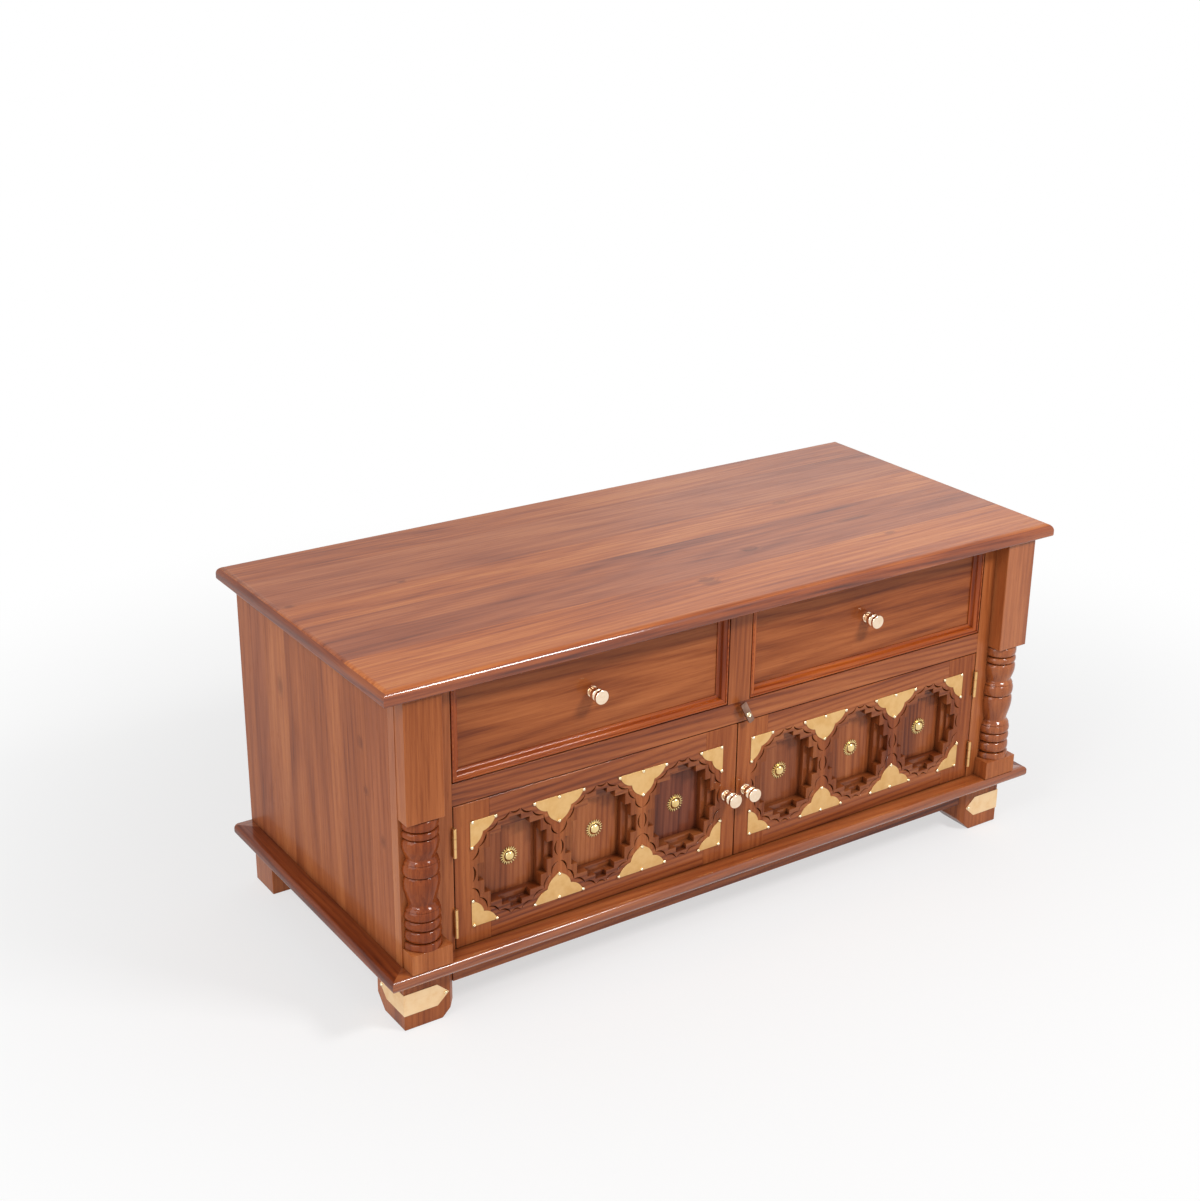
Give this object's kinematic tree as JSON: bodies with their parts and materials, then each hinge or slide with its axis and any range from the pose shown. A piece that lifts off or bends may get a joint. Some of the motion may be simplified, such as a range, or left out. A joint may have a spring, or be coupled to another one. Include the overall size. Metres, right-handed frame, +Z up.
{
  "type": "carved chest of drawers",
  "caption": "Low carved wooden chest with drawers above panelled doors, turned half posts, stepped niches, lobed brass plates and round brass knobs.",
  "frame": {"origin": "middle of the footprint on the floor, under the feet", "axes": "+X along the length to the viewer's right, -Y out of the front, +Z up"},
  "size_m": [1.15, 0.515, 0.518],
  "materials": {
    "wood": "glossy lacquer",
    "brass": "polished",
    "steel": "worn"
  },
  "bodies": {
    "cabinet": {"top_panel": "wood", "base_slab": "wood", "left_side_panel": "wood", "right_side_panel": "wood", "back_panel": "wood", "left_stile": "wood", "right_stile": "wood", "middle_rail": "wood", "drawer_mullion": "wood", "dust_board": "wood", "drawer_guides": "wood", "door_stop": "wood", "left_post": "wood", "right_post": "wood", "left_plinth": "wood", "right_plinth": "wood", "front_left_foot": "wood", "front_right_foot": "wood", "back_left_foot": "wood", "back_right_foot": "wood", "front_apron": "wood", "left_foot_cap": "brass", "right_foot_cap": "brass", "hinge_frame_leaves": "brass", "button_screw": "brass"},
    "turn_button": {"turn_button": "steel"},
    "left_drawer": {"left_drawer_front": "wood", "left_drawer_moulding": "wood", "left_drawer_left_side": "wood", "left_drawer_right_side": "wood", "left_drawer_back": "wood", "left_drawer_bottom": "wood", "left_drawer_knob": "brass"},
    "left_door": {"left_door_outer_stile": "wood", "left_door_inner_stile": "wood", "left_door_top_rail": "wood", "left_door_bottom_rail": "wood", "left_door_muntins": "wood", "left_door_back_panel": "wood", "left_door_rosettes": "brass", "left_door_brass_plates": "brass", "left_door_knob": "brass", "left_door_hinge_leaves": "brass"},
    "right_drawer": {"right_drawer_front": "wood", "right_drawer_moulding": "wood", "right_drawer_left_side": "wood", "right_drawer_right_side": "wood", "right_drawer_back": "wood", "right_drawer_bottom": "wood", "right_drawer_knob": "brass"},
    "right_door": {"right_door_outer_stile": "wood", "right_door_inner_stile": "wood", "right_door_top_rail": "wood", "right_door_bottom_rail": "wood", "right_door_muntins": "wood", "right_door_back_panel": "wood", "right_door_rosettes": "brass", "right_door_brass_plates": "brass", "right_door_knob": "brass", "right_door_hinge_leaves": "brass"}
  },
  "joints": [
    {"name": "left_drawer_slide", "type": "slide", "parent": "cabinet", "child": "left_drawer", "axis": [0, -1, 0], "range_m": [0, 0.3]},
    {"name": "left_door_hinge", "type": "hinge", "parent": "cabinet", "child": "left_door", "pos_m": [-0.46525, -0.2281, 0.204], "axis": [0, 0, -1], "range_deg": [0, 115]},
    {"name": "right_drawer_slide", "type": "slide", "parent": "cabinet", "child": "right_drawer", "axis": [0, -1, 0], "range_m": [0, 0.3]},
    {"name": "right_door_hinge", "type": "hinge", "parent": "cabinet", "child": "right_door", "pos_m": [0.46525, -0.2281, 0.204], "axis": [0, 0, 1], "range_deg": [0, 115]},
    {"name": "turn_button_pivot", "type": "hinge", "parent": "cabinet", "child": "turn_button", "pos_m": [0.01, -0.235, 0.3325], "axis": [0, -1, 0], "range_deg": [0, 152]}
  ]
}
